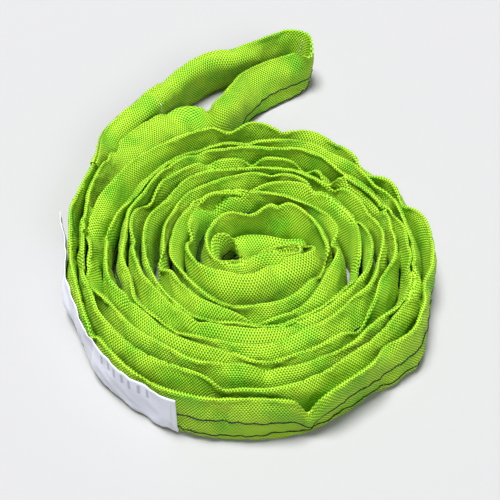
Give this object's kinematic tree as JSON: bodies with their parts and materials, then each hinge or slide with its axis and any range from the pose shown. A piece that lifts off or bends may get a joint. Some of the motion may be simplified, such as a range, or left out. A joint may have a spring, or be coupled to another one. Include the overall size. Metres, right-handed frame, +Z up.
{
  "type": "round sling",
  "caption": "Endless polyester round sling, doubled and rolled up on edge, with one bight left free as a lifting eye.",
  "frame": {"origin": "on the floor, under the middle of the sling's box", "axes": "+Z up; the free bight points to +Y, and the label is on the -X, -Y side"},
  "size_m": [0.3652, 0.508, 0.0593],
  "materials": {
    "sleeve": "woven polyester, green",
    "cover": "woven polyester, green",
    "core": "parallel polyester yarn, undyed",
    "marker": "dark woven-in yarn",
    "thread": "pale sewing thread",
    "tape": "cloth tape",
    "label": "coated label cloth, plain"
  },
  "bodies": {
    "coil": {"sleeve_coil": "sleeve", "core_coil": "core", "marker_yarn_upper_coil": "marker", "marker_yarn_lower_coil": "marker"},
    "bight": {"sleeve_bight": "sleeve", "core_bight": "core", "marker_yarn_upper_bight": "marker", "marker_yarn_lower_bight": "marker", "join_cover": "cover", "join_stitching_lower": "thread", "join_stitching_upper": "thread", "bight_tack": "thread", "yarn_end_tape": "tape"},
    "label": {"label": "label", "label_stitching": "thread"}
  },
  "joints": [
    {"name": "bight_lift", "type": "hinge", "parent": "coil", "child": "bight", "pos_m": [-0.15253, 0.03443, 0.0592], "axis": [0.9207, -0.3903, 0], "range_deg": [0, 40]},
    {"name": "label_flap", "type": "hinge", "parent": "coil", "child": "label", "pos_m": [-0.06152, -0.24649, 0.0285], "axis": [0, 0, 1], "range_deg": [0, 45]}
  ]
}
